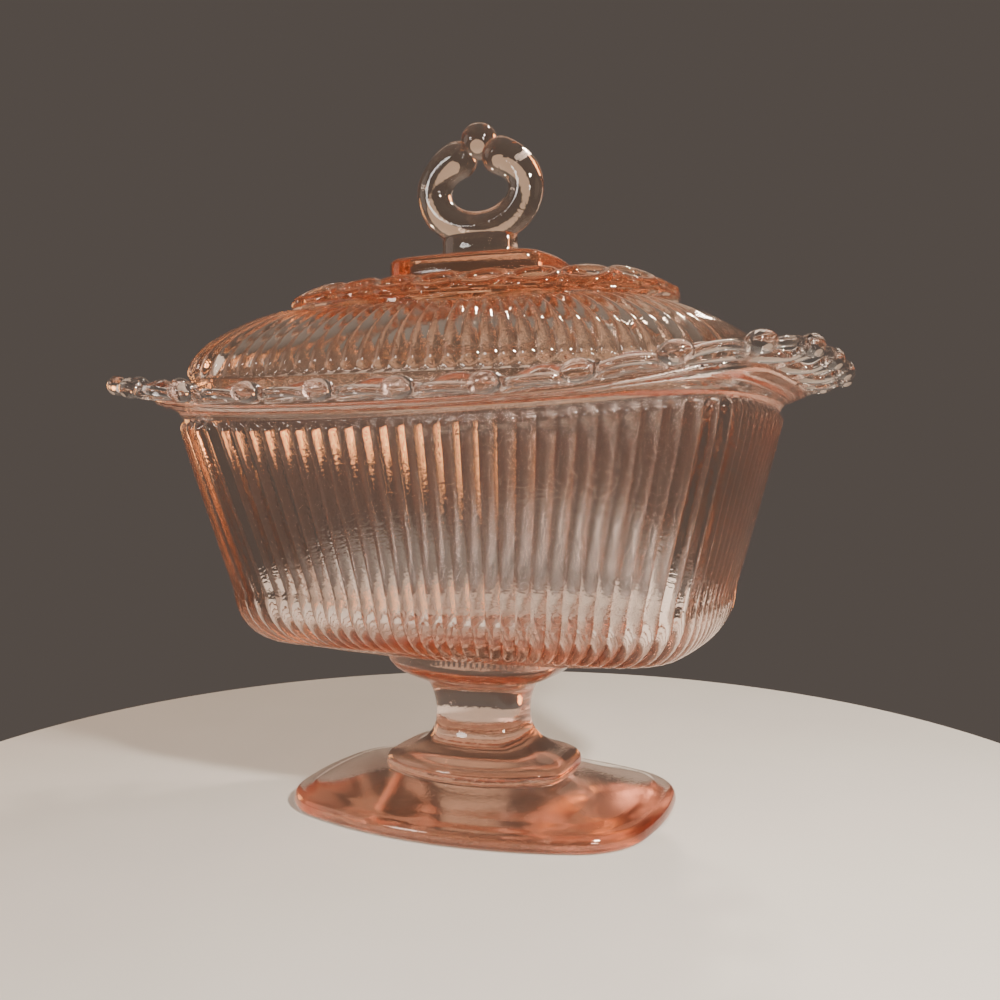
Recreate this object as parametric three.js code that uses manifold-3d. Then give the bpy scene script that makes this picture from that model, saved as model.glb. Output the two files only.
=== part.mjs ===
// A covered, footed candy dish in pressed pink glass, in millimetres, +Z up.
// The dish is two pieces of glass: a footed bowl with an openwork rim, and a lid with a loop finial.
// Origin: the centre of the foot's underside. +X runs along the bowl's length, +Y across it.

import * as THREE from 'three';
import { mergeVertices } from 'three/addons/utils/BufferGeometryUtils.js';
import Module from 'manifold-3d';

const wasm = await Module();
wasm.setup();

// ---- Driving dimensions ----

const TOTAL_HEIGHT = 170;
const POINTS_AROUND = 64;
const OVAL_SIDES = 10;

// Every horizontal section is a rounded rectangle with bowed sides: half-lengths a and b, the radii
// of its long side, its short side and its corners.
const FOOT = { a: 47.4, b: 34.3, longR: 97, shortR: 86, cornerR: 19 };
const COLLAR = { a: 23.8, b: 18.8, longR: 35.5, shortR: 58, cornerR: 7.5 };
const STEM = { a: 11.8, b: 9.8, longR: 22, shortR: 20, cornerR: 7.6 };
const BOWL = { a: 71.3, b: 45.3, longR: 398, shortR: 166, cornerR: 21.2 };
const MEDALLION = { a: 49.5, b: 28.5, longR: 110, shortR: 52, cornerR: 20 };
const PLATE = { a: 21, b: 15.1, longR: 117, shortR: 55, cornerR: 6.2 };

const FOOT_THICKNESS = 4.4;
const FOOT_EDGE_ROUND = 1.2;
const FOOT_CROWN_Z = 8.6;
const COLLAR_BOTTOM_Z = 9.8;
const COLLAR_TOP_Z = 12.4;
const COLLAR_EDGE_ROUND = 1.6;
const COLLAR_CROWN = { drawnIn: 6, rise: 2.6 };
// The stem is waisted: share of its section's size, height. It flares into the upper collar.
const STEM_PROFILE = [[1.18, 17], [1.02, 20.5], [1.03, 26.5], [1.16, 30.5]];
const UPPER_COLLAR_PROFILE = [[0.8, 33.2], [0.97, 36.4], [0.98, 39.6]];
const BOWL_FLOOR_Z = 39.6;
const BOWL_CORNER_Z = 42;
const WALL_FOOT_Z = 55;
const WALL_TOP_Z = 96;
const WALL_DRAFT = 0.27;
const WALL_THICKNESS = 4;
const FLOOR_THICKNESS = 5;
const BOTTOM_CORNER_TURN = 11;
const SEAT_Z = 101.5;
const SEAT_STEP = 0.6;

const RIM_ROOT_Z = 98.2;
const RIM_THICKNESS = 3.8;
const RIM_WIDTH = 17;
const RIM_PLATE_WIDTH = 13.2;
const RIM_UNDERCUT = 0.4;
const RIM_RISE = 2.7;
const ROOT_LIFT = 2.4;
const ROOT_TWIST = 2.1;
const EDGE_LIFT = { side: 5.8, corner: 3.8 };
const EDGE_TWIST = 3.6;
const CORNER_COVE = 0.8;
const LACE_LOOPS = 28;
const LACE_STEP = 0.004;
const LOOP_OFFSET = 11.2;
const LOOP_OUTER = { along: 8, across: 8, thick: 3.2 };
const LOOP_HOLE = { along: 5.5, across: 3.4, thick: 20 };
const BEAD_OFFSET = 15;
const BEAD_RADIUS = 3.4;

const LID_GAP = 0.3;
const LID_INSET = 1.2;
const LID_THICKNESS = 3.6;
const LID_CEILING_Z = 124;
const LID_INSIDE_DROP = 0.4;
const PLATE_BOTTOM_Z = 131.8;
const PLATE_TOP_Z = 136.4;
const PLATE_EDGE_ROUND = 0.7;

const FINIAL_BASE = { halfLength: 10.4, halfWidth: 4.6, topZ: 143.5, sunk: 1 };
const LOOP_CENTRE_Z = 153.3;
const LOOP_HALF_WIDTH = 12.4;
const LOOP_HALF_HEIGHT = 9.2;
const LOOP_TUBE_RADIUS = 4.4;
const LOOP_MOUTH_ANGLE = 0.96;
const BALL_RADIUS = 4.5;

// ---- Sections ----

function grown(section, by) {
  return {
    a: section.a + by,
    b: section.b + by,
    longR: section.longR + by,
    shortR: section.shortR + by,
    cornerR: section.cornerR + by,
  };
}

function scaled(section, k) {
  return {
    a: section.a * k,
    b: section.b * k,
    longR: section.longR * k,
    shortR: section.shortR * k,
    cornerR: section.cornerR * k,
  };
}

// A bowl section drawn in by a distance: the corners tighten at half the rate of the sides.
function bowlSection(inset) {
  const section = grown(BOWL, -inset);
  section.cornerR = BOWL.cornerR - inset * (inset > 0 ? 0.5 : 1);
  return section;
}

// The three arcs of the first quadrant, from the +X end round to the +Y side.
function quadrantArcs(section) {
  const longCentre = { x: 0, y: section.b - section.longR };
  const shortCentre = { x: section.a - section.shortR, y: 0 };
  const d0 = section.longR - section.cornerR;
  const d1 = section.shortR - section.cornerR;
  const dx = shortCentre.x - longCentre.x;
  const dy = shortCentre.y - longCentre.y;
  const apart = Math.hypot(dx, dy);
  const along = (d0 * d0 - d1 * d1 + apart * apart) / (2 * apart);
  const aside = Math.sqrt(Math.max(0, d0 * d0 - along * along));
  const corner = {
    x: longCentre.x + (along * dx + aside * -dy) / apart,
    y: longCentre.y + (along * dy + aside * dx) / apart,
  };
  if (corner.x + corner.y < 0) {
    corner.x = longCentre.x + (along * dx - aside * -dy) / apart;
    corner.y = longCentre.y + (along * dy - aside * dx) / apart;
  }
  const start = Math.atan2(corner.y - shortCentre.y, corner.x - shortCentre.x);
  const end = Math.atan2(corner.y - longCentre.y, corner.x - longCentre.x);
  return [
    { centre: shortCentre, radius: section.shortR, from: 0, to: start },
    { centre: corner, radius: section.cornerR, from: start, to: end },
    { centre: longCentre, radius: section.longR, from: end, to: Math.PI / 2 },
  ];
}

// The point and outward normal at a share of the way round, counted from the +X end.
function around(section, share) {
  const turn = ((share % 1) + 1) % 1 * 4;
  const quadrant = Math.floor(turn);
  const mirrored = quadrant % 2 === 1;
  const part = mirrored ? 1 - (turn - quadrant) : turn - quadrant;
  const arcs = quadrantArcs(section);
  const lengths = arcs.map((arc) => arc.radius * (arc.to - arc.from));
  let left = part * (lengths[0] + lengths[1] + lengths[2]);
  let k = 0;
  while (k < 2 && left > lengths[k]) {
    left -= lengths[k];
    k += 1;
  }
  const arc = arcs[k];
  const angle = arc.from + left / arc.radius;
  const signX = quadrant === 1 || quadrant === 2 ? -1 : 1;
  const signY = quadrant >= 2 ? -1 : 1;
  return {
    x: signX * (arc.centre.x + arc.radius * Math.cos(angle)),
    y: signY * (arc.centre.y + arc.radius * Math.sin(angle)),
    nx: signX * Math.cos(angle),
    ny: signY * Math.sin(angle),
  };
}

// ---- Rim surface: it dips at the middle of the long sides and is slightly twisted ----

// The height of the rim's underside, at a distance out from a point on the bowl's outline.
function rimZ(foot, offset) {
  const x = foot.x / BOWL.a;
  const y = foot.y / BOWL.b;
  const root = ROOT_LIFT * x * x - ROOT_TWIST * x * y;
  const lift = EDGE_LIFT.side + EDGE_LIFT.corner * y * y;
  const edge = RIM_RISE + x ** 4 * lift - EDGE_TWIST * x ** 3 * y;
  const outward = Math.max(0, offset) / RIM_WIDTH;
  const cove = CORNER_COVE * x ** 4 * y * y * outward * (1 - outward);
  return RIM_ROOT_Z + root + (outward + cove) * (edge - root);
}

function rimPoint(foot, offset, above) {
  const z = rimZ(foot, offset) + above;
  return new THREE.Vector3(foot.x + foot.nx * offset, foot.y + foot.ny * offset, z);
}

// The lace is spaced evenly along the rim's edge: the point on the bowl's outline that it springs from.
function laceFoot(share) {
  const edge = around(grown(BOWL, RIM_WIDTH), share);
  return { ...edge, x: edge.x - edge.nx * RIM_WIDTH, y: edge.y - edge.ny * RIM_WIDTH };
}

// ---- Solids ----

function geometryFrom(positions, triangles) {
  const geometry = new THREE.BufferGeometry();
  geometry.setAttribute('position', new THREE.Float32BufferAttribute(positions, 3));
  geometry.setIndex(triangles);
  return geometry;
}

// A closed shell through rings of points, from a point on the axis to another point on the axis.
function loft(rings, firstZ, lastZ, count) {
  const positions = [0, 0, firstZ];
  for (const ring of rings) {
    for (const p of ring) positions.push(p.x, p.y, p.z);
  }
  positions.push(0, 0, lastZ);
  const lastPoint = 1 + rings.length * count;
  const triangles = [];
  for (let i = 0; i < count; i += 1) {
    const j = (i + 1) % count;
    triangles.push(0, 1 + j, 1 + i);
    for (let r = 0; r < rings.length - 1; r += 1) {
      const low = 1 + r * count;
      const high = low + count;
      triangles.push(low + i, low + j, high + j, low + i, high + j, high + i);
    }
    const top = 1 + (rings.length - 1) * count;
    triangles.push(top + i, top + j, lastPoint);
  }
  return geometryFrom(positions, triangles);
}

function levelRing(section, z) {
  const ring = [];
  for (let i = 0; i < POINTS_AROUND; i += 1) {
    const p = around(section, i / POINTS_AROUND);
    ring.push(new THREE.Vector3(p.x, p.y, z));
  }
  return ring;
}

function rimRing(offset, above) {
  const ring = [];
  for (let i = 0; i < POINTS_AROUND; i += 1) {
    ring.push(rimPoint(around(BOWL, i / POINTS_AROUND), offset, above));
  }
  return ring;
}

function solid(geometry) {
  const bare = new THREE.BufferGeometry();
  bare.setAttribute('position', geometry.getAttribute('position'));
  if (geometry.index) bare.setIndex(geometry.index);
  const merged = mergeVertices(bare, 1e-4);
  return new wasm.Manifold(new wasm.Mesh({
    numProp: 3,
    vertProperties: new Float32Array(merged.getAttribute('position').array),
    triVerts: new Uint32Array(merged.index.array),
  }));
}

function geometryOf(manifold) {
  const mesh = manifold.getMesh();
  const geometry = geometryFrom(Array.from(mesh.vertProperties), Array.from(mesh.triVerts));
  geometry.computeVertexNormals();
  return geometry;
}

// ---- Footed bowl ----

function footAndStemRings() {
  const foot = [
    levelRing(grown(FOOT, -FOOT_EDGE_ROUND), 0),
    levelRing(FOOT, FOOT_EDGE_ROUND),
    levelRing(FOOT, FOOT_THICKNESS - FOOT_EDGE_ROUND),
    levelRing(grown(FOOT, -FOOT_EDGE_ROUND), FOOT_THICKNESS),
    levelRing(COLLAR, FOOT_CROWN_Z),
  ];
  const collar = [
    levelRing(COLLAR, COLLAR_BOTTOM_Z),
    levelRing(COLLAR, COLLAR_TOP_Z),
    levelRing(grown(COLLAR, -COLLAR_EDGE_ROUND), COLLAR_TOP_Z + COLLAR_EDGE_ROUND),
    levelRing(grown(COLLAR, -COLLAR_CROWN.drawnIn), COLLAR_TOP_Z + COLLAR_CROWN.rise),
  ];
  const stem = STEM_PROFILE.map(([k, z]) => levelRing(scaled(STEM, k), z));
  const upperCollar = UPPER_COLLAR_PROFILE.map(([k, z]) => levelRing(scaled(COLLAR, k), z));
  return [...foot, ...collar, ...stem, ...upperCollar];
}

// The wall's inset from the bowl's top outline at a height.
function wallInset(z) {
  return WALL_DRAFT * (WALL_TOP_Z - z);
}

// Rings up the wall from the floor's edge: a rounded turn, then the tapered wall.
function wallRings(thickness) {
  const rings = [];
  const floorZ = BOWL_CORNER_Z + thickness;
  const turnSteps = 3;
  const turn = BOTTOM_CORNER_TURN;
  for (let k = 0; k <= turnSteps; k += 1) {
    const angle = (k / turnSteps) * (Math.PI / 2);
    const inset = wallInset(WALL_FOOT_Z) + thickness + turn * (1 - Math.sin(angle));
    rings.push(levelRing(bowlSection(inset), WALL_FOOT_Z - (WALL_FOOT_Z - floorZ) * Math.cos(angle)));
  }
  return rings;
}

function bowlGeometry() {
  const inside = wallRings(WALL_THICKNESS).reverse();
  const rings = [
    ...footAndStemRings(),
    ...wallRings(0),
    levelRing(BOWL, WALL_TOP_Z),
    rimRing(RIM_UNDERCUT, 0),
    rimRing(RIM_PLATE_WIDTH, 0),
    rimRing(RIM_PLATE_WIDTH, RIM_THICKNESS),
    rimRing(-SEAT_STEP, RIM_THICKNESS),
    levelRing(grown(BOWL, -SEAT_STEP), SEAT_Z),
    levelRing(grown(BOWL, -WALL_THICKNESS), SEAT_Z),
    ...inside,
  ];
  return loft(rings, 0, BOWL_FLOOR_Z + FLOOR_THICKNESS, POINTS_AROUND);
}

// A disc or hole lying in the rim's sloping surface, with its long axis along the rim.
function rimOval(share, size) {
  const oval = new THREE.CylinderGeometry(1, 1, size.thick, OVAL_SIDES);
  oval.rotateX(Math.PI / 2);
  oval.scale(size.along, size.across, 1);
  const foot = laceFoot(share);
  const before = rimPoint(laceFoot(share - LACE_STEP), LOOP_OFFSET, 0);
  const along = rimPoint(laceFoot(share + LACE_STEP), LOOP_OFFSET, 0).sub(before).normalize();
  const inner = rimPoint(foot, LOOP_OFFSET - 1, 0);
  const outward = rimPoint(foot, LOOP_OFFSET + 1, 0).sub(inner).normalize();
  const up = new THREE.Vector3().crossVectors(along, outward).negate().normalize();
  const across = new THREE.Vector3().crossVectors(up, along).normalize();
  const centre = rimPoint(foot, LOOP_OFFSET, RIM_THICKNESS / 2);
  oval.applyMatrix4(new THREE.Matrix4().makeBasis(along, across, up).setPosition(centre));
  return solid(oval);
}

function rimBead(share) {
  const bead = new THREE.SphereGeometry(BEAD_RADIUS, 8, 4);
  const centre = rimPoint(laceFoot(share), BEAD_OFFSET, RIM_THICKNESS / 2);
  bead.translate(centre.x, centre.y, centre.z);
  return solid(bead);
}

function footedBowl() {
  let glass = solid(bowlGeometry());
  for (let i = 0; i < LACE_LOOPS; i += 1) {
    glass = glass.add(rimOval(i / LACE_LOOPS, LOOP_OUTER));
    glass = glass.add(rimBead((i + 0.5) / LACE_LOOPS));
  }
  for (let i = 0; i < LACE_LOOPS; i += 1) {
    glass = glass.subtract(rimOval(i / LACE_LOOPS, LOOP_HOLE));
  }
  return geometryOf(glass);
}

// ---- Lid ----

// The dome's outline stays the same shape from the edge to the medallion: share of size, height.
const DOME_PROFILE = [
  [1, 107.3],
  [0.985, 110.6],
  [0.955, 113.6],
  [0.9, 116.6],
  [0.82, 119.6],
  [0.74, 121.9],
  [0.66, 123.5],
];
// The medallion: how far its outline is drawn in, height.
const MEDALLION_PROFILE = [[0, 124.4], [0, 126.4], [3.5, 128.6], [12.5, 130.6]];

function lidShell() {
  const edge = grown(BOWL, -LID_INSET);
  const dome = DOME_PROFILE.map(([k, z]) => levelRing(scaled(edge, k), z));
  const medallion = MEDALLION_PROFILE.map(([drawnIn, z]) => levelRing(grown(MEDALLION, -drawnIn), z));
  const plate = [
    levelRing(PLATE, PLATE_BOTTOM_Z + PLATE_EDGE_ROUND / 2),
    levelRing(PLATE, PLATE_TOP_Z - PLATE_EDGE_ROUND),
    levelRing(grown(PLATE, -PLATE_EDGE_ROUND), PLATE_TOP_Z),
  ];
  const narrowing = LID_THICKNESS / edge.a;
  const inside = DOME_PROFILE.map(([k, z]) => {
    const below = LID_THICKNESS * (1 - k * k) + LID_INSIDE_DROP;
    return levelRing(scaled(edge, k - narrowing), z - below);
  });
  const bottomZ = SEAT_Z + LID_GAP;
  const bottom = [levelRing(grown(edge, -LID_THICKNESS), bottomZ), levelRing(edge, bottomZ)];
  const rings = [...inside.reverse(), ...bottom, ...dome, ...medallion, ...plate];
  return loft(rings, LID_CEILING_Z, PLATE_TOP_Z, POINTS_AROUND);
}

// The finial's loop is an open ring whose two rounded arms meet under a ball.
class LoopCurve extends THREE.Curve {
  getPoint(t, target = new THREE.Vector3()) {
    const sweep = 2 * (Math.PI - LOOP_MOUTH_ANGLE / 2);
    const angle = Math.PI / 2 + LOOP_MOUTH_ANGLE / 2 + t * sweep;
    return target.set(
      LOOP_HALF_WIDTH * Math.cos(angle),
      0,
      LOOP_CENTRE_Z + LOOP_HALF_HEIGHT * Math.sin(angle),
    );
  }
}

function finial() {
  const circle = new THREE.Shape().absarc(0, 0, LOOP_TUBE_RADIUS, 0, 2 * Math.PI);
  const curve = new LoopCurve();
  const tube = new THREE.ExtrudeGeometry(circle, { steps: 16, curveSegments: 4, extrudePath: curve });
  let glass = solid(tube);
  for (const t of [0, 1]) {
    const end = curve.getPoint(t);
    const knob = new THREE.SphereGeometry(LOOP_TUBE_RADIUS, 10, 6);
    knob.translate(end.x, end.y, end.z);
    glass = glass.add(solid(knob));
  }
  const ball = new THREE.SphereGeometry(BALL_RADIUS, 12, 8);
  ball.rotateX(Math.PI / 2);
  ball.translate(0, 0, TOTAL_HEIGHT - BALL_RADIUS);
  glass = glass.add(solid(ball));
  const baseHeight = FINIAL_BASE.topZ - PLATE_TOP_Z + FINIAL_BASE.sunk;
  const base = new THREE.CylinderGeometry(1, 1, baseHeight, 24);
  base.rotateX(Math.PI / 2);
  base.scale(FINIAL_BASE.halfLength, FINIAL_BASE.halfWidth, 1);
  base.translate(0, 0, FINIAL_BASE.topZ - baseHeight / 2);
  return glass.add(solid(base));
}

function lid() {
  return geometryOf(solid(lidShell()).add(finial()));
}

// ---- Assembly ----

function glassMaterial(name) {
  return new THREE.MeshStandardMaterial({
    name,
    color: 0xf2b49a,
    roughness: 0.05,
    metalness: 0,
    transparent: true,
    opacity: 0.4,
  });
}

function piece(name, geometry, material) {
  const mesh = new THREE.Mesh(geometry, material);
  mesh.name = name;
  return mesh;
}

const dish = new THREE.Group();
dish.name = 'covered_candy_dish';
dish.add(piece('footed_bowl', footedBowl(), glassMaterial('bowl_glass')));
dish.add(piece('lid', lid(), glassMaterial('lid_glass')));

export default dish;
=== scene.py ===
"""A covered, footed candy dish in pale pink pressed glass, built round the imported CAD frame."""

import math

import bmesh
import bpy
import numpy as np
from mathutils import Matrix, Vector


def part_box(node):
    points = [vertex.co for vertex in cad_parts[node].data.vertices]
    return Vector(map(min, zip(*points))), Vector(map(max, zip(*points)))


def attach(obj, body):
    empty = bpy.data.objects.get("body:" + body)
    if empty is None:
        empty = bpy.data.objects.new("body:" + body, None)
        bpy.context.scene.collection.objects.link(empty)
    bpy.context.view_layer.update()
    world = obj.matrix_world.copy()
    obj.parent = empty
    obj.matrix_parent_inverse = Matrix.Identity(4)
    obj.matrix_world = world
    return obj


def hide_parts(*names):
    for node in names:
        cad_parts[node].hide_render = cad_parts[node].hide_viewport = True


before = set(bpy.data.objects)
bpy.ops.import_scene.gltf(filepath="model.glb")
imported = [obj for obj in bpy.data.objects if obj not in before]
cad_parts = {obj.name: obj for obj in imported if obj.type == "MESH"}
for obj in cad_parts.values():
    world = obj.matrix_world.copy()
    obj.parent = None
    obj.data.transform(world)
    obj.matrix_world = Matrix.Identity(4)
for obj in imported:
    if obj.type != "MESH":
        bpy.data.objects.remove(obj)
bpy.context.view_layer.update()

MM = 0.001


# ---- Sizes, in millimetres; the overall ones come from the frame ----


def box_mm(node):
    """A CAD node's lowest and highest corners."""
    low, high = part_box(node)
    return np.array(low) / MM, np.array(high) / MM


lid_low, lid_high = box_mm("lid")

TOTAL_HEIGHT = lid_high[2]
LID_INSET = 1.2
LID_A, LID_B = lid_high[0], lid_high[1]

# Sections: half length a, half width b, and the radii of the long sides, short sides and corners.
BOWL = {
    "a": LID_A + LID_INSET,
    "b": LID_B + LID_INSET,
    "longR": 398,
    "shortR": 166,
    "cornerR": 21.2,
}
FOOT = {"a": 47.4, "b": 34.3, "longR": 97, "shortR": 86, "cornerR": 19}
COLLAR = {"a": 23.8, "b": 18.8, "longR": 35.5, "shortR": 58, "cornerR": 7.5}
STEM = {"a": 11.8, "b": 9.8, "longR": 22, "shortR": 20, "cornerR": 7.6}
MEDALLION = {"a": 49.5, "b": 28.5, "longR": 110, "shortR": 52, "cornerR": 20}
PLATE = {"a": 21, "b": 15.1, "longR": 117, "shortR": 55, "cornerR": 6.2}

LID_GAP = 0.3
SEAT_Z = lid_low[2] - LID_GAP
SEAT_STEP = 0.6
WALL_THICKNESS = 4
WALL_DRAFT = 0.27
WALL_TOP_Z = 96
WALL_FOOT_Z = 55
BOWL_FLOOR_Z = 39.6
BOWL_CORNER_Z = 42
BOTTOM_TURN = 11
FLOOR_THICKNESS = 5
INSIDE_FLOOR_Z = BOWL_CORNER_Z + FLOOR_THICKNESS

RIM_WIDTH = 17
RIM_THICKNESS = 3.8
RIM_ROOT_Z = 98.2
RIM_RISE = 2.7
ROOT_LIFT, ROOT_TWIST = 2.4, 2.1
SIDE_LIFT, CORNER_LIFT, EDGE_TWIST = 5.8, 3.8, 3.6
CORNER_COVE = 0.8
LACE_LOOPS = 28
LOOP_OFFSET = 11.2
BEAD_OFFSET = 15.0
BEAD_LEVEL = 1.6
BEAD_HALF_SIZE = (3.8, 2.5, 2.4)

RIBS = 96
RIB_STATIONS = (-0.72, -0.38, 0, 0.38, 0.72, 1)  # across one rib, in half pitches from its ridge
RIB_HEIGHT = 1.1
LID_RIB_HEIGHT = 0.95
CREASE_DEGREES = 38


# ---- Sections: rounded rectangles with bowed sides ----


def grown(section, by):
    return {key: value + by for key, value in section.items()}


def mixed(one, other, k):
    return {key: one[key] * (1 - k) + other[key] * k for key in one}


def scaled(section, k):
    return {key: value * k for key, value in section.items()}


def bowl_section(inset):
    """The bowl's outline drawn in: its corners tighten at half the rate of its sides."""
    section = grown(BOWL, -inset)
    section["cornerR"] = BOWL["cornerR"] - inset * (0.5 if inset > 0 else 1)
    return section


def quadrant_arcs(section):
    """The three arcs of the first quadrant as (centre, radius, start angle, end angle)."""
    long_centre = np.array([0, section["b"] - section["longR"]])
    short_centre = np.array([section["a"] - section["shortR"], 0])
    to_long = section["longR"] - section["cornerR"]
    to_short = section["shortR"] - section["cornerR"]
    gap = short_centre - long_centre
    apart = math.hypot(*gap)
    along = (to_long * to_long - to_short * to_short + apart * apart) / (2 * apart)
    aside = math.sqrt(max(0, to_long * to_long - along * along))
    normal = np.array([-gap[1], gap[0]])
    corner = long_centre + (along * gap + aside * normal) / apart
    if corner.sum() < 0:
        corner = long_centre + (along * gap - aside * normal) / apart
    start = math.atan2(*(corner - short_centre)[::-1])
    end = math.atan2(*(corner - long_centre)[::-1])
    return (
        (short_centre, section["shortR"], 0, start),
        (corner, section["cornerR"], start, end),
        (long_centre, section["longR"], end, math.pi / 2),
    )


def around(section, shares):
    """Points and outward normals at shares of the way round, counted from the +X end."""
    arcs = quadrant_arcs(section)
    lengths = np.array([radius * (end - start) for _, radius, start, end in arcs])
    turn = (np.asarray(shares, float) % 1) * 4
    quadrant = np.floor(turn).astype(int)
    part = turn - quadrant
    run = np.where(quadrant % 2 == 1, 1 - part, part) * lengths.sum()
    points = np.zeros((len(run), 2))
    normals = np.zeros((len(run), 2))
    before = 0
    for (centre, radius, start, _), length in zip(arcs, lengths):
        chosen = (run >= before) & (run <= before + length + 1e-9)
        angle = start + (run[chosen] - before) / radius
        direction = np.stack([np.cos(angle), np.sin(angle)], 1)
        points[chosen] = centre + radius * direction
        normals[chosen] = direction
        before += length
    signs = np.stack(
        [np.where((quadrant == 1) | (quadrant == 2), -1, 1), np.where(quadrant >= 2, -1, 1)], 1
    )
    return points * signs, normals * signs


# ---- Rim surface: it dips at the middle of the long sides and is slightly twisted ----


def root_lift(points):
    x, y = points[:, 0] / BOWL["a"], points[:, 1] / BOWL["b"]
    return ROOT_LIFT * x * x - ROOT_TWIST * x * y


def rim_z(points, offset):
    """The height of the rim's underside, at a distance out from points on the bowl's outline."""
    x, y = points[:, 0] / BOWL["a"], points[:, 1] / BOWL["b"]
    root = root_lift(points)
    edge = RIM_RISE + x**4 * (SIDE_LIFT + CORNER_LIFT * y * y) - EDGE_TWIST * x**3 * y
    outward = np.maximum(0, offset) / RIM_WIDTH
    cove = CORNER_COVE * x**4 * y * y * outward * (1 - outward)
    return RIM_ROOT_Z + root + (outward + cove) * (edge - root)


def lace_point(share, offset, above):
    """A point of the rim, spaced evenly along its edge."""
    edge, normal = around(grown(BOWL, RIM_WIDTH), [share])
    foot = edge - normal * RIM_WIDTH
    z = rim_z(foot, offset)[0] + above
    return Vector((*(foot[0] + normal[0] * offset), z))


def lace_axes(share, offset):
    """The rim's own axes there: along it, out across it, and up from it."""
    step = 0.004
    along = lace_point(share + step, offset, 0) - lace_point(share - step, offset, 0)
    along.normalize()
    outward = lace_point(share, offset + 1, 0) - lace_point(share, offset - 1, 0)
    outward.normalize()
    up = outward.cross(along).normalized()
    if up.z < 0:
        up = -up
    return along, up.cross(along).normalized(), up


# ---- Mesh helpers ----


def mesh_object(name, vertices, faces):
    mesh = bpy.data.meshes.new(name)
    mesh.from_pydata((np.asarray(vertices, float) * MM).tolist(), [], faces)
    mesh.update()
    piece = bpy.data.objects.new(name, mesh)
    bpy.context.scene.collection.objects.link(piece)
    return piece


def ring_faces(rings, count, closed=False, start=0):
    """Quads from each ring of points to the next, and from the last to the first where closed."""
    column = np.arange(count)
    after = (column + 1) % count
    faces = []
    for r in range(rings if closed else rings - 1):
        low = start + r * count
        high = start + ((r + 1) % rings) * count
        faces += np.stack([low + column, low + after, high + after, high + column], 1).tolist()
    return faces


def loft(name, rings, first, last):
    """A closed skin through rings of points, with a fan to an axis point at either end."""
    count = len(rings[0])
    vertices = np.vstack([[first], *rings, [last]])
    faces = ring_faces(len(rings), count, start=1)
    end = len(vertices) - 1
    top = end - count
    for i in range(count):
        j = (i + 1) % count
        faces.append([0, 1 + j, 1 + i])
        faces.append([end, top + i, top + j])
    return mesh_object(name, vertices, faces)


def tube(name, path, frames, radii, sides, closed):
    """A round tube through path points, each with two section axes and a radius of its own."""
    along = path[1] - path[0]
    turn = 1 if frames[0][0].cross(frames[0][1]).dot(along) > 0 else -1
    angles = np.linspace(0, turn * 2 * math.pi, sides, endpoint=False)
    rings = [
        [p + (u * math.cos(t) + v * math.sin(t)) * r for t in angles]
        for p, (u, v), r in zip(path, frames, radii)
    ]
    if closed:
        vertices = [tuple(q) for ring in rings for q in ring]
        return mesh_object(name, vertices, ring_faces(len(rings), sides, closed=True))
    return loft(name, [np.array(ring) for ring in rings], tuple(path[0]), tuple(path[-1]))


def ball(name, centre, radius, segments=24, axes=None, half_size=(1, 1, 1)):
    """A ball, or an egg with its own three axes and a half size along each."""
    mesh = bpy.data.meshes.new(name)
    shape = bmesh.new()
    bmesh.ops.create_uvsphere(
        shape, u_segments=segments, v_segments=segments // 2, radius=radius * MM
    )
    shape.to_mesh(mesh)
    shape.free()
    if axes:
        stretched = [axis * size for axis, size in zip(axes, half_size)]
        mesh.transform(Matrix(stretched).transposed().to_4x4())
    mesh.transform(Matrix.Translation(Vector(centre) * MM))
    piece = bpy.data.objects.new(name, mesh)
    bpy.context.scene.collection.objects.link(piece)
    return piece


def joined(pieces):
    """One object of several whose shells don't meet."""
    with bpy.context.temp_override(
        active_object=pieces[0], selected_editable_objects=pieces, selected_objects=pieces
    ):
        bpy.ops.object.join()
    return pieces[0]


def drop_flat_pairs(mesh):
    """Takes out faces that lie back to back on the same corners, which a union can leave behind."""
    shape = bmesh.new()
    shape.from_mesh(mesh)
    sharing = {}
    for face in shape.faces:
        sharing.setdefault(frozenset(corner.index for corner in face.verts), []).append(face)
    paired = [face for faces in sharing.values() if len(faces) > 1 for face in faces]
    bmesh.ops.delete(shape, geom=paired, context="FACES")
    shape.to_mesh(mesh)
    shape.free()


def fused(body, *others):
    """The solid union of closed shells, as one clean skin."""
    for other in others:
        union = body.modifiers.new("union", "BOOLEAN")
        union.operation = "UNION"
        union.solver = "MANIFOLD"
        union.object = other
        with bpy.context.temp_override(object=body, active_object=body):
            bpy.ops.object.modifier_apply(modifier=union.name)
        bpy.data.objects.remove(other)
    drop_flat_pairs(body.data)
    return body


def smooth(piece, crease_degrees):
    """Smooth shading that breaks at creases sharper than an angle."""
    piece.data.shade_smooth()
    piece.data.set_sharp_from_angle(angle=math.radians(crease_degrees))


def smooth_curve(keys, steps):
    """A Catmull-Rom curve through keys, with steps points a span and its ends at the end keys."""
    keys = np.asarray(keys, float)
    padded = np.vstack([2 * keys[0] - keys[1], keys, 2 * keys[-1] - keys[-2]])
    out = [keys[0]]
    for k in range(len(keys) - 1):
        p0, p1, p2, p3 = padded[k : k + 4]
        for i in range(1, steps + 1):
            t = i / steps
            out.append(
                0.5
                * (
                    2 * p1
                    + (p2 - p0) * t
                    + (2 * p0 - 5 * p1 + 4 * p2 - p3) * t * t
                    + (3 * p1 - p0 - 3 * p2 + p3) * t**3
                )
            )
    return np.array(out)


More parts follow.
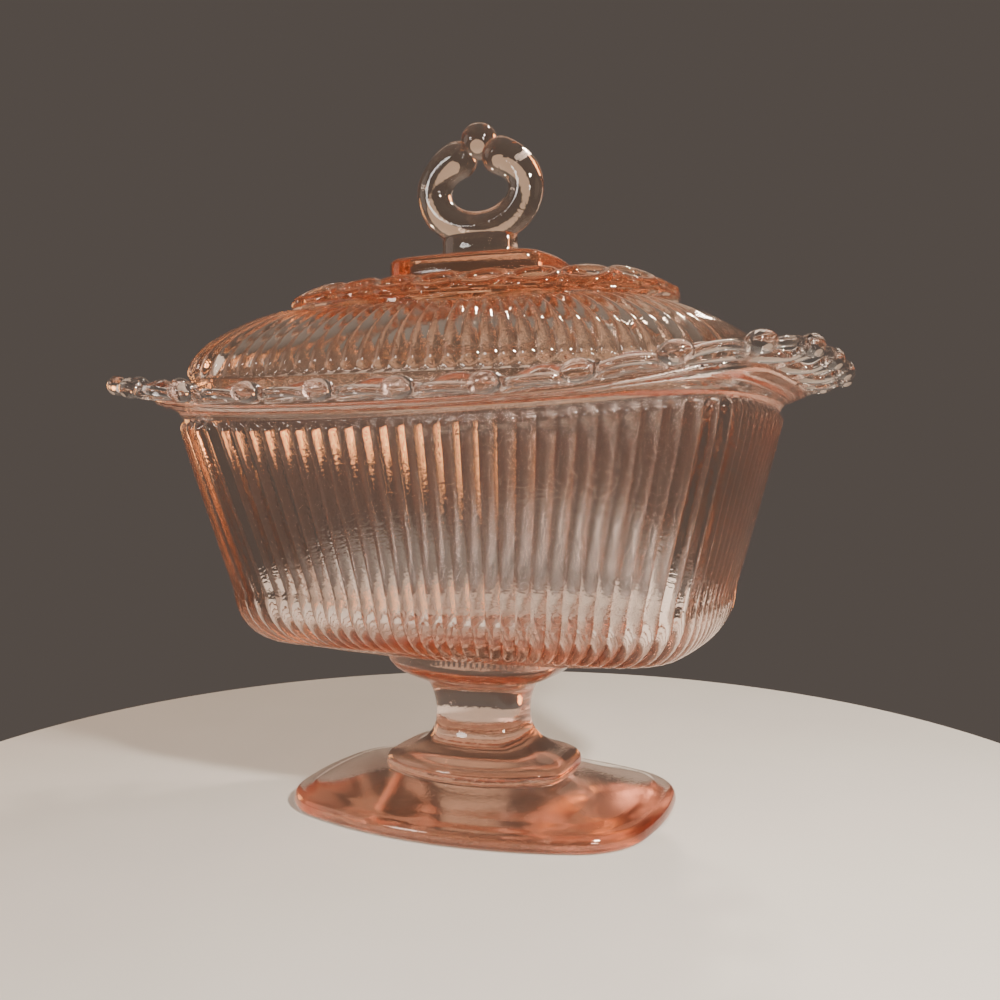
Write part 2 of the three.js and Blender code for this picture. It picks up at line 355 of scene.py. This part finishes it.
def quarter(start, end, steps, level_first):
    """A quarter ellipse between (x, z) points, which leaves level or, otherwise, upright."""
    (x0, z0), (x1, z1) = start, end
    angles = np.linspace(0, math.pi / 2, steps + 1)
    quick, slow = np.sin(angles), 1 - np.cos(angles)
    if level_first:
        return np.stack([x0 + (x1 - x0) * quick, z0 + (z1 - z0) * slow], 1)
    return np.stack([x0 + (x1 - x0) * slow, z0 + (z1 - z0) * quick], 1)


# ---- Rings and ribs ----

station = np.array(RIB_STATIONS)
rib_share = ((np.arange(RIBS)[:, None] + station[None, :] / 2) / RIBS).ravel() % 1
rib_across = np.tile(station, RIBS)


def level_ring(section, z):
    """A section as a ring of points at one height, six to a rib."""
    points, _ = around(section, rib_share)
    return np.column_stack([points, np.full(len(points), float(z))])


def grid_normals(grid):
    """Unit normals of a surface given as rings of points."""
    across = np.roll(grid, -1, 1) - np.roll(grid, 1, 1)
    normal = np.cross(across, np.gradient(grid, axis=0))
    return normal / (np.linalg.norm(normal, axis=2, keepdims=True) + 1e-12)


def grid_run(grid):
    """Each point's distance over the surface from the first ring."""
    step = np.linalg.norm(np.diff(grid, axis=0), axis=2)
    return np.vstack([np.zeros(grid.shape[1]), np.cumsum(step, 0)])


def rib_pitch(grid):
    """The distance from each point to the same point of the next rib."""
    return np.linalg.norm(grid - np.roll(grid, -len(RIB_STATIONS), 1), axis=2)


def rib_profile(half, past):
    """How high a round-ended rib stands, from 0 to 1, at a distance past its end's centre."""
    side = rib_across[None, :] * half
    radius = np.sqrt(side**2 + past**2) / half
    return np.clip(1 - radius**2, 0, None)


# ---- Footed bowl ----

FOOT_EDGE_Z, FOOT_BEVEL_Z, FOOT_CROWN_Z = 4.3, 5.2, 9.0
FOOT_HEEL, FOOT_SHOULDER = 1.4, 2.2

# Half-width against height.
LOWER_COLLAR = [(23.8, 9.2), (24.3, 9.9), (24.4, 11.2), (24.2, 12.3), (23.2, 13.3)]
COLLAR_FILLET = [(21.6, 13.9), (19.2, 14.5), (16.8, 15.4), (14.8, 16.7)]
WAIST = [(13.4, 18.5), (12.5, 20.9), (12.25, 24), (12.6, 27), (13.2, 29.2), (13.9, 30.8)]
UPPER_COLLAR = [(14.6, 31.5), (16.6, 32.3), (19.2, 33.3), (21.6, 34.7), (23.2, 36.4)]
UPPER_BAND = [(23.7, 37.5), (23.7, 39.2)]
STEM_WIDTH, COLLAR_WIDTH = 12.3, 24.3  # where the sections STEM and COLLAR hold


def foot_rings():
    """The foot's thick rounded edge, the bevel in it and the low dome up to the collar."""
    outline = [
        *quarter((-FOOT_HEEL, 0), (0, FOOT_HEEL), 4, True),
        *quarter((0, FOOT_EDGE_Z - FOOT_SHOULDER), (-FOOT_SHOULDER, FOOT_EDGE_Z), 6, False),
        (-4.6, FOOT_EDGE_Z + 0.25),
        (-5.4, FOOT_BEVEL_Z),
    ]
    rings = [level_ring(grown(FOOT, offset), z) for offset, z in outline]
    inner, collar = grown(FOOT, -6.2), grown(COLLAR, 0.7)
    dome_z = FOOT_BEVEL_Z + 0.3
    for k in np.linspace(0, 1, 6):
        z = dome_z + (FOOT_CROWN_Z - FOOT_BEVEL_Z - 0.3) * k**1.3
        rings.append(level_ring(mixed(inner, collar, k), z))
    return rings


def stem_rings():
    """The lower collar, the waisted stem and the upper collar."""
    curves = [smooth_curve(keys, 2) for keys in (LOWER_COLLAR, COLLAR_FILLET, WAIST, UPPER_COLLAR)]
    rings = []
    for width, z in [*np.vstack(curves), *UPPER_BAND]:
        k = (width - STEM_WIDTH) / (COLLAR_WIDTH - STEM_WIDTH)
        rings.append(level_ring(mixed(STEM, COLLAR, k), z))
    return rings


def wall_inset(z):
    """How far the wall is drawn in at a height: straight draft, eased to upright at the top."""
    ease = 1.5
    return WALL_DRAFT * ease * np.log1p(np.exp((WALL_TOP_Z - z) / ease))


def bowl_bottom(thickness, turn, middle_z, corner_z, floor_rows, turn_rows):
    """Rings from the middle of the bowl's bottom out, and round its corner to the wall's foot."""
    wall_foot = wall_inset(WALL_FOOT_Z) + thickness
    middle, edge = mixed(STEM, COLLAR, 0.96), bowl_section(wall_foot + turn)
    rings = []
    for k in np.linspace(0, 1, floor_rows):
        z = middle_z + (corner_z - middle_z) * k**1.5
        rings.append(level_ring(mixed(middle, edge, k), z))
    for angle in np.linspace(0, math.pi / 2, turn_rows)[1:]:
        inset = wall_foot + turn * (1 - math.sin(angle))
        z = WALL_FOOT_Z - (WALL_FOOT_Z - corner_z) * math.cos(angle)
        rings.append(level_ring(bowl_section(inset), z))
    return rings


def wall_rings(fractions, top_drop):
    """Rings up the wall's outside, to a line that follows the rim's root, a drop below it."""
    outline, _ = around(BOWL, rib_share)
    top = RIM_ROOT_Z + root_lift(outline) - top_drop
    index = np.arange(len(top))
    rings = []
    for k in fractions:
        z = WALL_FOOT_Z + (top - WALL_FOOT_Z) * k
        levels = np.linspace(z.min(), z.max(), 5)
        outlines = np.array([around(bowl_section(wall_inset(h)), rib_share)[0] for h in levels])
        place = (z - levels[0]) / (levels[1] - levels[0])
        lower = np.clip(place.astype(int), 0, 3)
        part = (place - lower)[:, None]
        points = outlines[lower, index] * (1 - part) + outlines[lower + 1, index] * part
        rings.append(np.column_stack([points, z]))
    return rings


def ribbed(rings, arch):
    """Raises convex ribs outward from rings of points, each with a round end at the ring arch."""
    full_pitch = 3.6
    grid = np.array(rings)
    run = grid_run(grid)
    to_arch = run[arch] - run
    pitch = rib_pitch(grid)
    half = pitch / 2
    height = RIB_HEIGHT * np.clip(pitch / full_pitch, 0, 1)
    rise = rib_profile(half, np.clip(half - to_arch, 0, None)) * height
    rise[to_arch < -half * 0.05] = 0
    return grid + grid_normals(grid) * rise[:, :, None]


def rim_rings():
    """The rim's solid band, from under it, round its edge and back over the top to the seat."""
    outline, normal = around(BOWL, rib_share)
    band, half = 6.6, 0.95
    under = [(0.15, -1.1), (0.45, -0.55), (1.0, -0.15), (1.9, 0.05), (3.4, 0), (4.8, 0)]
    edge = [
        (band - half + half * math.sin(t), half - half * math.cos(t))
        for t in np.linspace(0, math.pi, 7)
    ]
    over = [
        (4.2, 2.3),
        (2.6, 2.9),
        (1.2, 3.4),
        (0.3, RIM_THICKNESS - 0.1),
        (-0.3, RIM_THICKNESS - 0.4),
    ]
    rings = []
    for offset, above in [*under, *edge, *over]:
        z = rim_z(outline, offset) + above
        rings.append(np.column_stack([outline + normal * offset, z]))
    return rings


def seat_rings():
    """The ledge inside the bowl's top edge, on which the lid stands."""
    return [
        level_ring(grown(BOWL, -SEAT_STEP - 0.05), SEAT_Z + 0.12),
        level_ring(grown(BOWL, -SEAT_STEP - 0.25), SEAT_Z),
        level_ring(grown(BOWL, -WALL_THICKNESS + 0.7), SEAT_Z),
        level_ring(grown(BOWL, -WALL_THICKNESS + 0.2), SEAT_Z - 0.2),
        level_ring(grown(BOWL, -WALL_THICKNESS), SEAT_Z - 0.8),
    ]


def outside_rings():
    """The ribbed outside of the bowl, from the upper collar to the smooth band under the rim."""
    arch_drop = 1.7
    rows = bowl_bottom(0, BOTTOM_TURN, BOWL_FLOOR_Z, BOWL_CORNER_Z, 7, 10)
    wall = [*np.linspace(0, 0.94, 8)[1:], *np.linspace(0.95, 1, 8)]
    beyond_arch = [1.006, 1.012]
    rows += wall_rings([*wall, *beyond_arch], arch_drop)
    return ribbed(rows, len(rows) - len(beyond_arch) - 1)


def inside_rings():
    """The smooth inside of the bowl, from under the seat down to the floor's middle."""
    wall = [
        level_ring(bowl_section(wall_inset(z) + WALL_THICKNESS), z)
        for z in np.linspace(WALL_TOP_Z + 1, WALL_FOOT_Z + 1, 5)
    ]
    turn = BOTTOM_TURN - 2
    bottom = bowl_bottom(WALL_THICKNESS, turn, INSIDE_FLOOR_Z, INSIDE_FLOOR_Z, 3, 8)
    return wall + bottom[::-1]


def lace_loop(index):
    """One open oval of the rim: a thin bead bent round, thick and raised at its outer side."""
    share = index / LACE_LOOPS
    half_along, half_across = 6.9, 5.3
    thin, swell = 1.1, 1.2
    level, lift = 1.1, 2.6
    along, across, up = lace_axes(share, LOOP_OFFSET)
    centre = lace_point(share, LOOP_OFFSET, level)
    path, frames, radii = [], [], []
    for t in np.linspace(0, 2 * math.pi, 44, endpoint=False):
        outer = max(0, math.sin(t)) ** 1.5
        spot = centre + along * half_along * math.cos(t) + across * half_across * math.sin(t)
        path.append(spot + up * lift * outer)
        outward = along * math.cos(t) / half_along + across * math.sin(t) / half_across
        frames.append((outward.normalized(), up))
        radii.append(thin + swell * outer)
    return tube(f"loop_{index}", path, frames, radii, 12, True)


def lace_bead(index):
    """One egg-shaped bead, in the notch between two loops."""
    share = (index + 0.5) / LACE_LOOPS
    centre = lace_point(share, BEAD_OFFSET, BEAD_LEVEL)
    axes = lace_axes(share, BEAD_OFFSET)
    return ball(f"bead_{index}", centre, 1, 20, axes, BEAD_HALF_SIZE)


def footed_bowl():
    """The whole dish: foot, stem, bowl and openwork rim in one skin."""
    outside = [*foot_rings(), *stem_rings(), *outside_rings()]
    rings = [*outside, *rim_rings(), *seat_rings(), *inside_rings()]
    body = loft("bowl_glass_body", rings, (0, 0, 0), (0, 0, INSIDE_FLOOR_Z))
    loops = joined([lace_loop(i) for i in range(LACE_LOOPS)])
    beads = joined([lace_bead(i) for i in range(LACE_LOOPS)])
    body = fused(body, loops, beads)
    smooth(body, CREASE_DEGREES)
    return body


# ---- Lid ----

# The dome: the share of the lid's section against height.
DOME = [
    (1, 107.0),
    (0.985, 110.6),
    (0.955, 113.6),
    (0.9, 116.6),
    (0.82, 119.6),
    (0.74, 121.9),
    (0.66, 123.5),
]
CEILING_Z = 124
CEILING = [(0.5, 122.6), (0.3, 123.6), (0.1, CEILING_Z)]
MEDALLION_Z = 126.2
MEDALLION_TOP_K, MEDALLION_TOP_Z = 0.36, 130.8
RELIEF_LOOPS = 20
PLATE_BOTTOM_Z, PLATE_TOP_Z = 131.6, 136.4
LID_THICKNESS = 3.6
NECK_HALF_SIZE = (9.9, 4.6)
NECK = [(1.2, -0.8), (0.5, 0.3), (0.05, 1.4), (-0.15, 3.0), (-0.1, 5.0), (-0.6, 6.4), (-2.0, 7.4)]
FINIAL_CENTRE_Z, FINIAL_HALF_WIDTH, FINIAL_HALF_HEIGHT = 153.3, 12.4, 9.2
FINIAL_RADIUS, FINIAL_SWELL = 4.3, 0.35
FINIAL_BALL_RADIUS = 4.5


def lid_section(k):
    """The lid's outline, scaled down by a factor."""
    return scaled(grown(BOWL, -LID_INSET), k)


def lid_outside():
    """The ribbed dome, from the lid's edge up to the medallion."""
    base, full_half = 0.55, 1.6
    grid = np.array([level_ring(lid_section(k), z) for k, z in smooth_curve(DOME, 5)])
    run = grid_run(grid)
    half = rib_pitch(grid) / 2
    start, end = 0.4, run[-1] - 0.6
    below, above = np.clip(start + half - run, 0, None), np.clip(run - (end - half), 0, None)
    rise = rib_profile(half, np.maximum(below, above)) * LID_RIB_HEIGHT
    rise *= np.clip(half / full_half, 0.4, 1)
    normal = grid_normals(grid)
    return grid - normal * base + normal * rise[:, :, None]


def lid_body():
    """The lid's shell: inside, edge, ribbed dome, raised medallion and the plate on it."""
    low_z, full = lid_low[2], lid_section(1)
    edge = [
        level_ring(grown(full, -LID_THICKNESS), low_z + 0.6),
        level_ring(grown(full, -LID_THICKNESS + 0.6), low_z),
        level_ring(grown(full, -1.0), low_z),
        level_ring(grown(full, -0.3), low_z + 0.3),
        level_ring(full, low_z + 1.0),
        level_ring(full, 105.6),
        level_ring(full, 106.4),
    ]
    top = [
        level_ring(lid_section(0.63), 123.7),
        level_ring(grown(MEDALLION, -0.5), 124.5),
        level_ring(grown(MEDALLION, -0.1), 124.9),
        level_ring(grown(MEDALLION, -0.2), MEDALLION_Z - 0.6),
        level_ring(grown(MEDALLION, -0.8), MEDALLION_Z),
    ]
    medallion_edge = grown(MEDALLION, -1.8)
    medallion_top = lid_section(MEDALLION_TOP_K)
    for k in np.linspace(0, 1, 9):
        swell = math.sin(k * math.pi / 2) ** 1.2
        z = MEDALLION_Z + 0.3 + (MEDALLION_TOP_Z - MEDALLION_Z - 0.3) * swell
        top.append(level_ring(mixed(medallion_edge, medallion_top, k), z))
    plate = [
        level_ring(grown(PLATE, 0.1), PLATE_BOTTOM_Z - 0.2),
        level_ring(grown(PLATE, 0), PLATE_BOTTOM_Z + 0.4),
        level_ring(grown(PLATE, -0.1), PLATE_TOP_Z - 1.6),
        level_ring(grown(PLATE, -0.3), PLATE_TOP_Z - 1.0),
        level_ring(grown(PLATE, -1.3), PLATE_TOP_Z - 0.25),
        level_ring(grown(PLATE, -2.2), PLATE_TOP_Z),
        level_ring(grown(PLATE, -6), PLATE_TOP_Z + 0.1),
    ]
    narrowing = LID_THICKNESS / LID_A
    inside = []
    for k, z in smooth_curve(DOME, 3):
        inside.append(level_ring(lid_section(k - narrowing), z - LID_THICKNESS * (1 - k * k) - 0.4))
    inside += [level_ring(lid_section(k), z) for k, z in CEILING]
    rings = [*inside[::-1], *edge, *lid_outside(), *top, *plate]
    return loft("lid_glass_body", rings, (0, 0, CEILING_Z), (0, 0, PLATE_TOP_Z + 0.1))


def relief_point(section, share, z):
    """A point on a section at a height, and the way out from it."""
    points, normals = around(section, [share])
    return Vector((*points[0], z)), Vector((*normals[0], 0))


def medallion_lace():
    """Oval loops and beads in relief round the medallion."""
    middle, loop_z = grown(MEDALLION, -5.0), 127.9
    half_along, half_across, radius, bead_radius = 5.0, 4.1, 1.5, 1.7
    tilt = 0.45
    upright = Vector((0, 0, 1))
    loops, beads = [], []
    for i in range(RELIEF_LOOPS):
        centre, outward = relief_point(middle, i / RELIEF_LOOPS, loop_z)
        slope = (upright * math.sin(tilt) - outward * math.cos(tilt)).normalized()
        along = upright.cross(outward)
        up = slope.cross(along).normalized()
        if up.z < 0:
            up = -up
        path, frames = [], []
        for t in np.linspace(0, 2 * math.pi, 32, endpoint=False):
            path.append(
                centre + along * half_along * math.cos(t) - slope * half_across * math.sin(t)
            )
            frames.append(((along * math.cos(t) - slope * math.sin(t)).normalized(), up))
        loops.append(tube(f"relief_loop_{i}", path, frames, [radius] * len(path), 10, True))
        between = (i + 0.5) / RELIEF_LOOPS
        spot, _ = relief_point(grown(MEDALLION, -1.9), between, MEDALLION_Z + 0.3)
        beads.append(ball(f"relief_bead_{i}", spot, bead_radius, 16))
    return joined(loops), joined(beads)


def finial_loop():
    """An open ring with swelling ends, flattened across, whose arms meet under the ball."""
    mouth, steps = 0.96, 48
    wide, high = FINIAL_HALF_WIDTH, FINIAL_HALF_HEIGHT
    path, frames, radii = [], [], []
    for i in range(steps + 1):
        t = i / steps
        angle = math.pi / 2 + mouth / 2 + t * (2 * math.pi - mouth)
        x, z = math.cos(angle), math.sin(angle)
        path.append(Vector((wide * x, 0, FINIAL_CENTRE_Z + high * z)))
        frames.append((Vector((x / wide, 0, z / high)).normalized(), Vector((0, 1, 0))))
        radii.append(FINIAL_RADIUS + FINIAL_SWELL * abs(2 * t - 1) ** 6)
    arm = tube("finial_arm", path, frames, radii, 24, False)
    ends = [ball(f"finial_end_{k}", path[k], radii[k], 28) for k in (0, -1)]
    return fused(arm, *ends)


def finial():
    """The loop with the ball on it and the short neck under it."""
    loop = finial_loop()
    top_z = TOTAL_HEIGHT - FINIAL_BALL_RADIUS
    top = ball("finial_ball", (0, 0, top_z), FINIAL_BALL_RADIUS, 32)
    angles = np.linspace(0, 2 * math.pi, 64, endpoint=False)
    x = np.sign(np.cos(angles)) * np.abs(np.cos(angles)) ** 0.8
    y = np.sign(np.sin(angles)) * np.abs(np.sin(angles)) ** 0.8
    long, short = NECK_HALF_SIZE
    rings = []
    for grow, z in NECK:
        height = np.full(len(angles), PLATE_TOP_Z + z)
        rings.append(np.stack([(long + grow) * x, (short + grow) * y, height], 1))
    neck = loft("finial_neck", rings, (0, 0, PLATE_TOP_Z - 0.8), (0, 0, PLATE_TOP_Z + 7.6))
    return fused(loop, top, neck)


def lid():
    """The whole lid: shell, relief and finial in one skin."""
    body = lid_body()
    loops, beads = medallion_lace()
    body = fused(body, loops, beads, finial())
    smooth(body, CREASE_DEGREES)
    return body


# ---- Materials ----

FROST_Z = (0.1, 0.4)
FROST_ROUGHNESS = 0.1
POLISH_ROUGHNESS = (0.004, 0.022)


def glass(name, tints, colour, density):
    """Pale pink pressed glass with soft streaks, uneven polish and a frosted underside."""
    material = bpy.data.materials.new(name)
    material.use_nodes = True
    tree = material.node_tree
    nodes, links = tree.nodes, tree.links
    shader = nodes["Principled BSDF"]
    output = nodes["Material Output"]
    shader.inputs["Transmission Weight"].default_value = 1
    shader.inputs["IOR"].default_value = 1.5

    place = nodes.new("ShaderNodeTexCoord")
    streaks = nodes.new("ShaderNodeTexNoise")
    streaks.inputs["Scale"].default_value = 22
    streaks.inputs["Detail"].default_value = 3
    links.new(place.outputs["Object"], streaks.inputs["Vector"])
    tint = nodes.new("ShaderNodeValToRGB")
    tint.color_ramp.elements[0].color = (*tints[0], 1)
    tint.color_ramp.elements[1].color = (*tints[1], 1)
    links.new(streaks.outputs["Fac"], tint.inputs["Fac"])
    links.new(tint.outputs["Color"], shader.inputs["Base Color"])

    haze = nodes.new("ShaderNodeTexNoise")
    haze.inputs["Scale"].default_value = 45
    haze.inputs["Detail"].default_value = 4
    links.new(place.outputs["Object"], haze.inputs["Vector"])
    height = nodes.new("ShaderNodeSeparateXYZ")
    links.new(place.outputs["Object"], height.inputs["Vector"])
    frosted = nodes.new("ShaderNodeMapRange")
    frosted.inputs["From Min"].default_value = FROST_Z[0] * MM
    frosted.inputs["From Max"].default_value = FROST_Z[1] * MM
    frosted.inputs["To Min"].default_value = FROST_ROUGHNESS
    links.new(height.outputs["Z"], frosted.inputs["Value"])
    rough = nodes.new("ShaderNodeMapRange")
    rough.inputs["From Min"].default_value = 0.4
    rough.inputs["From Max"].default_value = 0.75
    rough.inputs["To Min"].default_value = POLISH_ROUGHNESS[0]
    rough.inputs["To Max"].default_value = POLISH_ROUGHNESS[1]
    links.new(haze.outputs["Fac"], rough.inputs["Value"])
    links.new(rough.outputs["Result"], frosted.inputs["To Max"])
    links.new(frosted.outputs["Result"], shader.inputs["Roughness"])

    ripple = nodes.new("ShaderNodeTexNoise")
    ripple.inputs["Scale"].default_value = 1500
    ripple.inputs["Detail"].default_value = 1
    links.new(place.outputs["Object"], ripple.inputs["Vector"])
    bump = nodes.new("ShaderNodeBump")
    bump.inputs["Strength"].default_value = 0.28
    bump.inputs["Distance"].default_value = 0.0001
    links.new(ripple.outputs["Fac"], bump.inputs["Height"])
    links.new(bump.outputs["Normal"], shader.inputs["Normal"])

    inside = nodes.new("ShaderNodeVolumeAbsorption")
    inside.inputs["Color"].default_value = (*colour, 1)
    inside.inputs["Density"].default_value = density
    links.new(inside.outputs["Volume"], output.inputs["Volume"])
    return material


def plain(name, colour, roughness):
    """A matt surface with a faint, slow change of tone."""
    material = bpy.data.materials.new(name)
    material.use_nodes = True
    tree = material.node_tree
    shader = tree.nodes["Principled BSDF"]
    shader.inputs["Roughness"].default_value = roughness
    noise = tree.nodes.new("ShaderNodeTexNoise")
    noise.inputs["Scale"].default_value = 9
    ramp = tree.nodes.new("ShaderNodeValToRGB")
    ramp.color_ramp.elements[0].color = (*[c * 0.92 for c in colour], 1)
    ramp.color_ramp.elements[1].color = (*colour, 1)
    tree.links.new(noise.outputs["Fac"], ramp.inputs["Fac"])
    tree.links.new(ramp.outputs["Color"], shader.inputs["Base Color"])
    return material


BOWL_GLASS = {
    "tints": ((1, 0.96, 0.94), (1, 0.985, 0.97)),
    "colour": (0.96, 0.57, 0.36),
    "density": 24,
}
LID_GLASS = {
    "tints": ((1, 0.90, 0.82), (1, 0.95, 0.90)),
    "colour": (0.96, 0.59, 0.32),
    "density": 30,
}


def coat(piece, material):
    """Gives a whole piece one material."""
    piece.data.materials.clear()
    piece.data.materials.append(material)
    piece.data.polygons.foreach_set("material_index", [0] * len(piece.data.polygons))


# ---- Camera, floor and light ----

# The lens in millimetres, angles in degrees, and places and lamp sizes in metres.
SENSOR_WIDTH, LENS, SHIFT_UP = 36, 39.98, 0.0051
CAMERA_TURN, CAMERA_PITCH, CAMERA_ROLL = 23.43, 3.17, -0.4
CAMERA_DISTANCE, CAMERA_HEIGHT, CAMERA_ASIDE = 0.2791, 0.0909, 0.0045

TABLE_COLOUR, TABLE_ROUGHNESS = (0.75, 0.71, 0.66), 0.6
TABLE_DROP = 0.00005  # keeps the glass and the table from sharing a plane
HORIZON_COLOUR, HORIZON_PLACE = (0.095, 0.078, 0.068, 1), 0.45
OVERHEAD_COLOUR = (0.30, 0.26, 0.225, 1)

# Name, place, the height it is aimed at over the origin, size, power, colour.
LAMPS = [
    ("key", (0.45, -0.28, 0.42), 0.07, 0.06, 7, (1, 0.92, 0.82)),
    ("right_wall", (0.75, 0.15, 0.2), 0.09, 0.5, 0.3, (1, 0.72, 0.50)),
    ("left_window", (-0.55, -0.85, 0.35), 0.08, 0.26, 3, (1, 0.95, 0.9)),
    ("right_window", (0.7, -0.6, 0.25), 0.08, 0.1, 1.5, (1, 0.90, 0.80)),
    ("high_spark", (0.1, 0.5, 0.7), 0.08, 0.06, 3, (1, 0.86, 0.7)),
    ("left_glow", (-0.8, 0.2, 0.14), 0.09, 0.3, 1.4, (1, 0.42, 0.14)),
    ("left_fill", (-0.7, -0.25, 0.3), 0.08, 0.5, 0.6, (1, 0.84, 0.72)),
    ("back", (-0.25, 0.75, 0.55), 0.08, 0.5, 0.3, (1, 0.72, 0.50)),
]
FLOOR_LAMP = ("light_through_glass", (0.45, -0.28, 0.42), 0, 0.16, 1.2, (1, 0.84, 0.72))

LIGHT_BOUNCES, GLOSSY_BOUNCES = 24, 16


def make_camera():
    """The photograph's viewing angle: near level with the bowl, a little right of its long side."""
    camera = bpy.data.objects.new("camera", bpy.data.cameras.new("camera"))
    bpy.context.scene.collection.objects.link(camera)
    bpy.context.scene.camera = camera
    camera.data.sensor_width = SENSOR_WIDTH
    camera.data.lens = LENS
    camera.data.shift_y = SHIFT_UP
    camera.data.clip_start = 0.01
    turn, pitch, roll = (math.radians(a) for a in (CAMERA_TURN, CAMERA_PITCH, CAMERA_ROLL))
    right = Vector((math.cos(turn), math.sin(turn), 0))
    ahead = Vector((-math.sin(turn), math.cos(turn), 0))
    height = Vector((0, 0, CAMERA_HEIGHT))
    camera.location = right * CAMERA_ASIDE - ahead * CAMERA_DISTANCE + height
    look = ahead * math.cos(pitch) - Vector((0, 0, math.sin(pitch)))
    up = right.cross(look)
    turned = Matrix((right, up, -look)).transposed() @ Matrix.Rotation(roll, 3, "Z")
    camera.rotation_euler = turned.to_euler()


def area_light(name, place, aim_z, size, power, colour, only=None):
    """A round soft box; with only, it lights just those things, and just they shadow it."""
    data = bpy.data.lights.new(name, "AREA")
    data.shape = "DISK"
    data.size = size
    data.energy = power
    data.color = colour
    light = bpy.data.objects.new(name, data)
    light.location = place
    aim = Vector((0, 0, aim_z)) - Vector(place)
    light.rotation_euler = aim.to_track_quat("-Z", "Y").to_euler()
    if only:
        light.light_linking.receiver_collection = only
        light.light_linking.blocker_collection = only
    bpy.context.scene.collection.objects.link(light)


def make_table():
    """A pale round table top with a rounded edge; its sizes are in millimetres."""
    steps, radius, depth, edge = 160, 164, 22, 2
    outline = [
        (radius - edge, -depth),
        (radius, -depth + edge),
        (radius, -edge),
        (radius - 0.6, -0.6),
        (radius - edge, 0),
    ]
    angles = np.linspace(0, 2 * math.pi, steps, endpoint=False)
    rings = []
    for r, z in outline:
        height = np.full(steps, float(z))
        rings.append(np.stack([r * np.cos(angles), r * np.sin(angles), height], 1))
    table = loft("table_top", rings, (0, 0, -depth), (0, 0, 0))
    table.location.z = -TABLE_DROP
    smooth(table, 40)
    table.data.materials.append(plain("pale_floor", TABLE_COLOUR, TABLE_ROUGHNESS))
    return table


def make_surroundings():
    """Dim taupe surroundings, lighter overhead."""
    world = bpy.data.worlds.new("surroundings")
    world.use_nodes = True
    tree = world.node_tree
    place = tree.nodes.new("ShaderNodeTexCoord")
    split = tree.nodes.new("ShaderNodeSeparateXYZ")
    ramp = tree.nodes.new("ShaderNodeValToRGB")
    tree.links.new(place.outputs["Generated"], split.inputs["Vector"])
    tree.links.new(split.outputs["Z"], ramp.inputs["Fac"])
    tree.links.new(ramp.outputs["Color"], tree.nodes["Background"].inputs["Color"])
    ramp.color_ramp.elements[0].position = HORIZON_PLACE
    ramp.color_ramp.elements[0].color = HORIZON_COLOUR
    ramp.color_ramp.elements[1].position = 1
    ramp.color_ramp.elements[1].color = OVERHEAD_COLOUR
    bpy.context.scene.world = world


def make_lights(table):
    """Soft lamps, and one more for the table alone, which stands for light through the glass."""
    for lamp in LAMPS:
        area_light(*lamp)
    floor_only = bpy.data.collections.new("floor_only")
    floor_only.objects.link(table)
    area_light(*FLOOR_LAMP, floor_only)


def let_light_through():
    """Lets light pass between the glass's many walls instead of stopping black after a few."""
    cycles = bpy.context.scene.cycles
    cycles.max_bounces = LIGHT_BOUNCES
    cycles.transmission_bounces = LIGHT_BOUNCES
    cycles.glossy_bounces = GLOSSY_BOUNCES


make_camera()
make_surroundings()
make_lights(make_table())
let_light_through()

bowl_piece = footed_bowl()
coat(bowl_piece, glass("pink_glass_bowl", **BOWL_GLASS))
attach(bowl_piece, "dish")
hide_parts("footed_bowl")

lid_piece = lid()
coat(lid_piece, glass("pink_glass_lid", **LID_GLASS))
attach(lid_piece, "lid")
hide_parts("lid")
